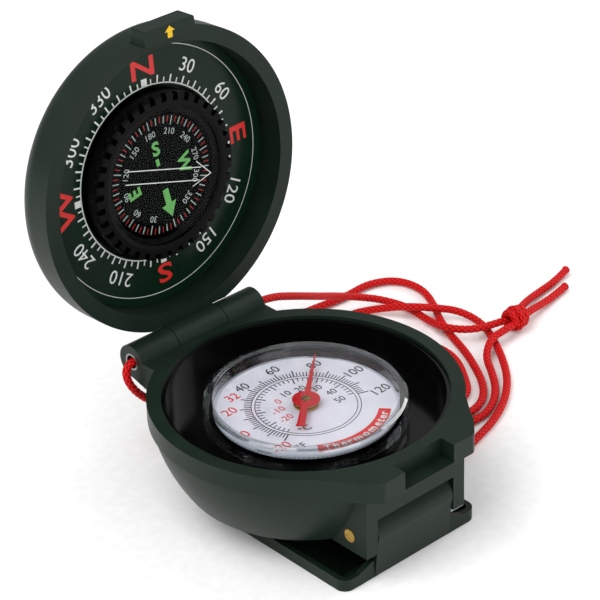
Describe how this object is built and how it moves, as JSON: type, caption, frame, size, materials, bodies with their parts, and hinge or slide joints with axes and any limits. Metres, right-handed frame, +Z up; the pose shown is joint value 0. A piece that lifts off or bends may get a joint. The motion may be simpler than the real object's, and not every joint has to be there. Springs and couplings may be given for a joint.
{
  "type": "folding pocket compass with thermometer",
  "caption": "Round folding pocket compass: a hinged lid holds a liquid compass in a turning bezel, the base holds a dial thermometer, with a mirror flap as foot and a neck lanyard.",
  "frame": {"origin": "on the ground, on the underside of the mirror flap, under the centre of the base's rim", "axes": "+Z up out of the open base, +X along the lid hinge, -Y from the hinge towards the latch"},
  "size_m": [0.1582, 0.1032, 0.1082],
  "materials": {
    "green_plastic": "fine moulded satin",
    "green_print": "gloss with white and red print",
    "black_gloss": "gloss",
    "black_plastic": "satin",
    "seal_rubber": "matt",
    "clear_lens": "polished",
    "white_dial": "satin print",
    "spring_steel": "drawn",
    "pin_brass": "turned",
    "red_paint": "gloss",
    "yellow_plastic": "gloss",
    "signal_mirror": "polished",
    "red_cord": "braided"
  },
  "bodies": {
    "base": {"base_case": "green_plastic", "recess_liner": "black_gloss", "hinge_tube": "spring_steel", "flap_pin": "pin_brass", "thermometer_cup": "black_gloss", "spindle_bush": "pin_brass", "coil_post": "pin_brass", "bimetal_coil": "spring_steel", "thermometer_dial": "white_dial", "thermometer_bezel": "clear_lens", "thermometer_lens": "clear_lens", "lanyard_knot": "red_cord", "lanyard_left": "red_cord", "lanyard_right": "red_cord"},
    "flap": {"flap_frame": "green_plastic", "flap_mirror": "signal_mirror"},
    "lid": {"lid_shell": "green_plastic", "index_arrow": "yellow_plastic", "degree_ring": "green_print", "ring_clip": "spring_steel"},
    "turning_bezel": {"bearing_ring": "black_plastic", "capsule_cup": "black_plastic", "fill_plug": "black_plastic", "capsule_seal": "seal_rubber", "capsule_glass": "clear_lens", "pivot_needle": "spring_steel"},
    "card": {"compass_card": "black_plastic", "card_magnet": "spring_steel", "card_jewel": "clear_lens"},
    "thermometer_hand": {"pointer_spindle": "pin_brass", "pointer": "red_paint", "pointer_rivet": "pin_brass"}
  },
  "joints": [
    {"name": "lid_hinge", "type": "hinge", "parent": "base", "child": "lid", "pos_m": [0, 0.03995, 0.02785], "axis": [1, 0, 0], "range_deg": [-86, 94]},
    {"name": "flap_hinge", "type": "hinge", "parent": "base", "child": "flap", "pos_m": [0, -0.0306, 0.0112], "axis": [1, 0, 0], "range_deg": [-85, 0]},
    {"name": "bezel_turn", "type": "hinge", "parent": "lid", "child": "turning_bezel", "pos_m": [0, 0.04408, 0.06761], "axis": [0, -0.9976, 0.0698], "continuous": true},
    {"name": "card_turn", "type": "hinge", "parent": "turning_bezel", "child": "card", "pos_m": [0, 0.04408, 0.06761], "axis": [0, -0.9976, 0.0698], "continuous": true},
    {"name": "hand_turn", "type": "hinge", "parent": "base", "child": "thermometer_hand", "pos_m": [0, 0, 0.0262], "axis": [0, 0, 1], "range_deg": [-66, 171], "stiffness_Nm_per_rad": 0.00002}
  ]
}
